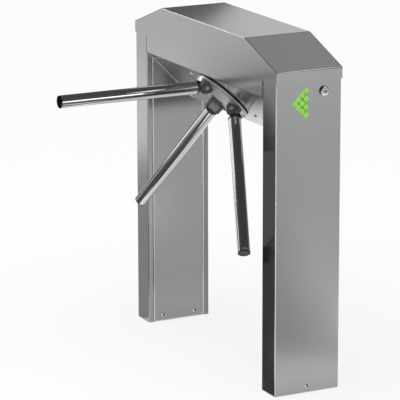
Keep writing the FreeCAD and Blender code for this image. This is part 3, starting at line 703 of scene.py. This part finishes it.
def makeBeads():
    look = beadLook
    tall = look["high"] - look["low"]
    bead = fresh("beadPattern", bpy.ops.mesh.primitive_cylinder_add, vertices=look["corners"],
                 radius=look["radius"], depth=tall, location=(0, 0, look["low"] + tall / 2))
    narrowEnd(bead, 1, look)
    inward = look["panel"] - look["proud"] + look["radius"]
    places = []
    for sideName, side in sides.items():
        for edgeName, edge in (("Back", 1), ("Front", -1)):
            across = Matrix.Translation((side * inward, edge * look["across"], 0))
            places.append((sideName + edgeName + "Bead", across, "housing"))
    setOut(bead, places, "beadSteel")


# folded edge down each end of the sloped panel: top and foot are y and z
slopeLook = {"radius": 0.0017, "end": 0.3770, "top": (-0.1035, 0.8715), "foot": (0.0500, 0.7180), "slant": 45,
             "inset": 0.4, "tip": 0.5, "corners": 16}


def makeSlopeEdges():
    look = slopeLook
    top, foot = look["top"], look["foot"]
    long = math.hypot(foot[0] - top[0], foot[1] - top[1])
    edge = fresh("slopePattern", bpy.ops.mesh.primitive_cylinder_add, vertices=look["corners"],
                 radius=look["radius"], depth=long)
    for end in (1, -1):
        narrowEnd(edge, end, look)
    slant = Matrix.Rotation(math.radians(look["slant"]), 4, "X")
    middle = ((top[0] + foot[0]) / 2, (top[1] + foot[1]) / 2)
    places = [(sideName + "SlopeEdge", Matrix.Translation((side * look["end"], *middle)) @ slant, "housing")
              for sideName, side in sides.items()]
    setOut(edge, places, "beadSteel")


# dark green film between the arrow's lozenges, lower than their faces
filmLook = {"tip": -0.0445, "middle": 0.8647, "step": 0.0117, "rise": 0.0118, "columns": 4, "face": 0.458,
            "thick": 0.0002, "bedded": 0.0001}


def makeFilms():
    look = filmLook
    last = look["columns"] - 1
    film = fresh("filmPattern", bpy.ops.mesh.primitive_circle_add, vertices=3, radius=1.0, fill_type="NGON")
    far = look["tip"] + last * look["step"]
    corners = [(look["tip"], look["middle"]), (far, look["middle"] - last * look["rise"]),
               (far, look["middle"] + last * look["rise"])]
    for vertex, (y, z) in zip(film.data.vertices, corners):
        vertex.co = (look["face"] - look["bedded"], y, z)
    pickFaces(film, lambda c, n: True)
    pushOut((look["thick"] + look["bedded"], 0, 0))
    bpy.ops.object.mode_set(mode="EDIT")
    bpy.ops.mesh.select_all(action="SELECT")
    bpy.ops.mesh.normals_make_consistent(inside=False)
    bpy.ops.object.mode_set(mode="OBJECT")
    middle = Matrix.Translation((0, 0, look["middle"]))
    across = middle @ Matrix.Rotation(math.pi, 4, "Y") @ middle.inverted()  # half a turn to the far end
    places = [("rightArrowFilm", Matrix.Identity(4), "housing"), ("leftArrowFilm", across, "housing")]
    setOut(film, places, "arrowFilm")


# black shutter over the key slot
shutterLook = {"centre": (0.46565, 0.0495, 0.8945), "size": (0.0012, 0.0088, 0.0034), "rim": 0.0009,
               "groove": 0.0005, "edge": 0.0002}


def makeShutter():
    shutter = freshBlock("keyShutter", shutterLook["centre"], shutterLook["size"])
    pickFaces(shutter, lambda c, n: n.x > facing)
    bpy.ops.mesh.inset(thickness=shutterLook["rim"])
    pushOut((-shutterLook["groove"], 0, 0))
    roundEdges(shutter, shutterLook["edge"])
    settle(shutter, Matrix.Identity(4), "lock_barrel", "sealBlack")


makeSeals()
makeRimBand()
makeBlocks()
makeBeads()
makeSlopeEdges()
makeFilms()
makeShutter()
print("new pieces made")


# studio: floor, cards, world, lamps, camera

# pale floor: white to the camera, with more of the object's shadow near its feet
floorLook = {"size": 60.0, "speck": (3.0, 2.0), "colours": ((0.3, grey(0.85)), (0.7, grey(0.87))),
             "seenWhite": 0.96, "shadowShare": 0.14, "near": 0.5, "far": 1.5, "mirrorWhite": 0.80}


def makeFloor():
    look = floorLook
    floor = fresh("studioFloor", bpy.ops.mesh.primitive_plane_add, size=look["size"])
    finish = Finish("paleFloor")
    x, y, _ = finish.axes(finish.place())
    away = distance(x, y) * (0.5 / look["far"])
    around = finish.mask(away, 0.5, 0.5 * look["near"] / look["far"])
    white = finish.whiteness(look["seenWhite"] - around * look["shadowShare"], look["mirrorWhite"])
    colour = finish.ramp(finish.mottle(*look["speck"]), look["colours"])
    matt = finish.node("ShaderNodeBsdfDiffuse", {}, {"Color": colour})
    glow = finish.node("ShaderNodeEmission", {}, {"Color": full(grey(1.0)), "Strength": 1.0})
    mixed = finish.node("ShaderNodeMixShader", {}, {0: white, 1: matt, 2: glow})
    floor.data.materials.append(finish.close(mixed))


# dark and pale studio cards, seen only as reflections in the metal
flat, skew, upright = (0, 0, 0), (0, 0, 26.9), (90, 0, 90)  # skew is the camera's heading as steel mirrors it
cardWeave = {"noise": (40.0, 2.0), "tones": ((0.3, 0.9), (0.7, 1.1))}
cardLooks = {
    "stripCard": {"place": (0.15, -0.255, 0.002), "turn": skew, "size": (0.68, 0.20), "tone": 0.05},
    "frontCard": {"place": (-0.60, -1.42, 0.003), "turn": flat, "size": (1.4, 1.94), "tone": 0.08},
    "reachCard": {"place": (-7.17, -9.80, 0.0025), "turn": (0, 0, 51.7), "size": (19.0, 1.2), "tone": 0.17},
    "nearCard": {"place": (0.62, -1.65, 0.002), "turn": flat, "size": (0.95, 1.5), "tone": 0.05},
    "wideCard": {"place": (2.0, -4.95, 0.002), "turn": flat, "size": (3.6, 5.0), "tone": 0.05},
    "armCard": {"place": (0.36, -0.16, 0.57), "turn": upright, "size": (0.52, 0.28), "tone": 0.13},
    "lowCard": {"place": (0.36, -0.135, 0.215), "turn": upright, "size": (0.07, 0.43), "tone": 0.068},
    "spotCard": {"place": (0.367, -0.124, 0.405), "turn": upright, "size": (0.030, 0.048), "tone": 0.02},
    "endCard": {"place": (2.308, 0.755, 0.002), "turn": skew, "size": (3.3, 0.36), "tone": 0.50},
    "backCard": {"place": (1.742, 1.208, 0.003), "turn": skew, "size": (4.2, 0.62), "tone": 0.64},
    "underCard": {"place": (0.937, 0.475, 0.0045), "turn": skew, "size": (0.4, 0.10), "tone": 2.2},
    "capCard": {"place": (-0.13, -0.638, 0.798), "turn": (0, 75.6, 26.9), "size": (0.14, 0.14), "tone": 0.01},
    "gapCard": {"place": (0.984, 0.381, 0.0025), "turn": skew, "size": (0.6, 0.17), "tone": 0.66},
    "eaveCard": {"place": (-0.18, 0.085, 0.6840), "turn": upright, "size": (0.21, 0.062), "tone": 0.11},
    "leftCard": {"place": (-1.40, -0.607, 0.004), "turn": skew, "size": (2.2, 0.50), "tone": 0.42},
    "farCard": {"place": (-2.483, -1.847, 0.002), "turn": skew, "size": (3.1, 0.85), "tone": 0.26},
    "insideCard": {"place": (0.0, 0.16, 0.0015), "turn": flat, "size": (0.74, 0.52), "tone": 0.68},
    "shadeCard": {"place": (0.25, -0.17, 0.63), "turn": (-38.7, 48.6, -22.2), "size": (0.42, 0.215),
                  "tone": 0.052},
    "paleCard": {"place": (-3.39, -1.494, 0.003), "turn": skew, "size": (2.0, 0.36), "tone": 1.45},
}


def makeCards():
    for name, look in cardLooks.items():
        card = fresh(name, bpy.ops.mesh.primitive_plane_add, size=1.0, location=look["place"],
                     rotation=[math.radians(angle) for angle in look["turn"]])
        card.scale = (*look["size"], 1.0)
        finish = Finish(name + "Felt")
        weave = finish.mottle(*cardWeave["noise"])
        colour = finish.tones(weave, grey(look["tone"]), cardWeave["tones"])
        felt = finish.node("ShaderNodeEmission", {}, {"Color": colour, "Strength": 1.0})
        card.data.materials.append(finish.close(felt))
        card.visible_camera = False
        card.visible_diffuse = False
        card.visible_transmission = False
        card.visible_shadow = False


# studio walls: sky lists heights and their greys, and near is a paler wall behind the camera, which goes from
# none to full between the two values on each axis
worldLook = {"sky": ((0.0, 0.20), (0.2, 0.11), (0.45, 0.06), (1.0, 0.045)), "near": 0.36, "nearX": (0.1, 0.4),
             "nearY": (0.2, 0.5), "nearZ": (0.86, 0.68), "seenWhite": 0.98, "mirrorWhite": 0.02}


def makeWorld():
    look = worldLook
    world = bpy.data.worlds.new("studio")
    world.use_nodes = True
    bpy.context.scene.world = world
    finish = Finish("studio", world.node_tree)
    x, y, z = finish.axes(finish.node("ShaderNodeTexCoord", out="Generated"))
    sky = finish.tones(z, grey(1.0), look["sky"])
    nearSide = (finish.mask(x, *look["nearX"]) * finish.mask(0 - y, *look["nearY"])
                * finish.mask(z, *look["nearZ"]))
    sky = finish.blend(nearSide, sky, full(grey(look["near"])))
    light = finish.blend(finish.whiteness(look["seenWhite"], look["mirrorWhite"]), sky, full(grey(1.0)))
    back = finish.node("ShaderNodeBackground", {}, {"Color": light, "Strength": 1.0})
    finish.node("ShaderNodeOutputWorld", {}, {"Surface": back})


# soft boxes: glow is the brightness of the cloth front, so power follows from the size
lampLooks = {
    "topBox": {"place": (-0.75, 0.517, 1.382), "aim": (0, 0.517, 1.382), "roll": 35.6, "size": (0.85, 0.55),
               "glow": 0.62},
    "overBox": {"place": (-0.28, 0.69, 1.97), "aim": (-0.28, 0.45, 0.9), "size": (0.95, 0.54), "glow": 0.42},
    "edgeBox": {"place": (0.62, 0.176, 1.268), "aim": (0.46, 0.0, 0.96), "size": (0.30, 0.26), "glow": 1.4},
    "brimBox": {"place": (-0.44, -0.66, 2.26), "aim": (0.36, -0.1, 1.0), "size": (1.1, 0.7), "glow": 0.22},
    "slopeBox": {"place": (-0.55, -0.20, 2.25), "aim": (0.42, 0, 0.98), "size": (0.56, 1.0), "glow": 0.34},
    "farSlopeBox": {"place": (0.55, -0.36, 2.25), "aim": (-0.42, 0, 0.98), "size": (0.56, 1.0), "glow": 0.34},
    "sideBox": {"place": (2.75, 0.86, 1.03), "aim": (0, -0.4, 0.85), "size": (0.50, 0.45), "glow": 2.2},
    "cornerBox": {"place": (0.81, -0.80, 0.39), "aim": (0.81, 0, 0.39), "size": (0.22, 0.76), "glow": 1.5},
    "beadBox": {"place": (0.13, -1.12, 0.38), "aim": (0.13, 0, 0.38), "size": (0.20, 0.55), "glow": 3.0},
    "leftBox": {"place": (-2.6, -1.5, 0.95), "aim": (0, -0.13, 0.6), "size": (0.8, 0.4), "glow": 1.6},
    "bandBox": {"place": (-1.5, -1.9, 1.6), "aim": (0.15, -0.3, 0.7), "size": (0.7, 1.1), "glow": 1.0},
    "ridgeBox": {"place": (-2.25, -0.75, 2.17), "aim": (0, -0.1, 1.0), "size": (0.55, 0.45), "glow": 7.0},
    "skyFill": {"place": (0.4, -0.6, 4.2), "aim": (0, 0, 0.5), "size": (4.0, 4.0), "glow": 3.4,
                "gloss": False},
}


def aimed(look):
    place = Vector(look["place"])
    turn = (Vector(look["aim"]) - place).to_track_quat("-Z", "Y").to_matrix().to_4x4()
    roll = Matrix.Rotation(math.radians(look.get("roll", 0)), 4, "Z")
    return Matrix.Translation(place) @ turn @ roll


def makeLamps():
    for name, look in lampLooks.items():
        wide, tall = look["size"]
        data = bpy.data.lights.new(name, "AREA")
        data.shape = "RECTANGLE"
        data.size, data.size_y = wide, tall
        data.energy = look["glow"] * math.pi * wide * tall
        lamp = bpy.data.objects.new(name, data)
        bpy.context.scene.collection.objects.link(lamp)
        lamp.matrix_world = aimed(look)
        lamp.visible_camera = False
        lamp.visible_glossy = look.get("gloss", True)


# camera fitted to the photo's view
cameraLook = {"place": (6.9216, -3.6187, 2.4709), "aim": (-0.22848, 0.0, 0.42336), "roll": -0.13,
              "lens": 239.76, "sensor": 36.0, "clip": (0.1, 200.0)}


def makeCamera():
    data = bpy.data.cameras.new("photoCamera")
    data.sensor_width = cameraLook["sensor"]
    data.lens = cameraLook["lens"]
    data.clip_start, data.clip_end = cameraLook["clip"]
    camera = bpy.data.objects.new("photoCamera", data)
    bpy.context.scene.collection.objects.link(camera)
    camera.matrix_world = aimed(cameraLook)
    bpy.context.scene.camera = camera


makeFloor()
makeCards()
makeWorld()
makeLamps()
makeCamera()
bpy.context.scene.view_settings.view_transform = "Standard"
print("studio set")
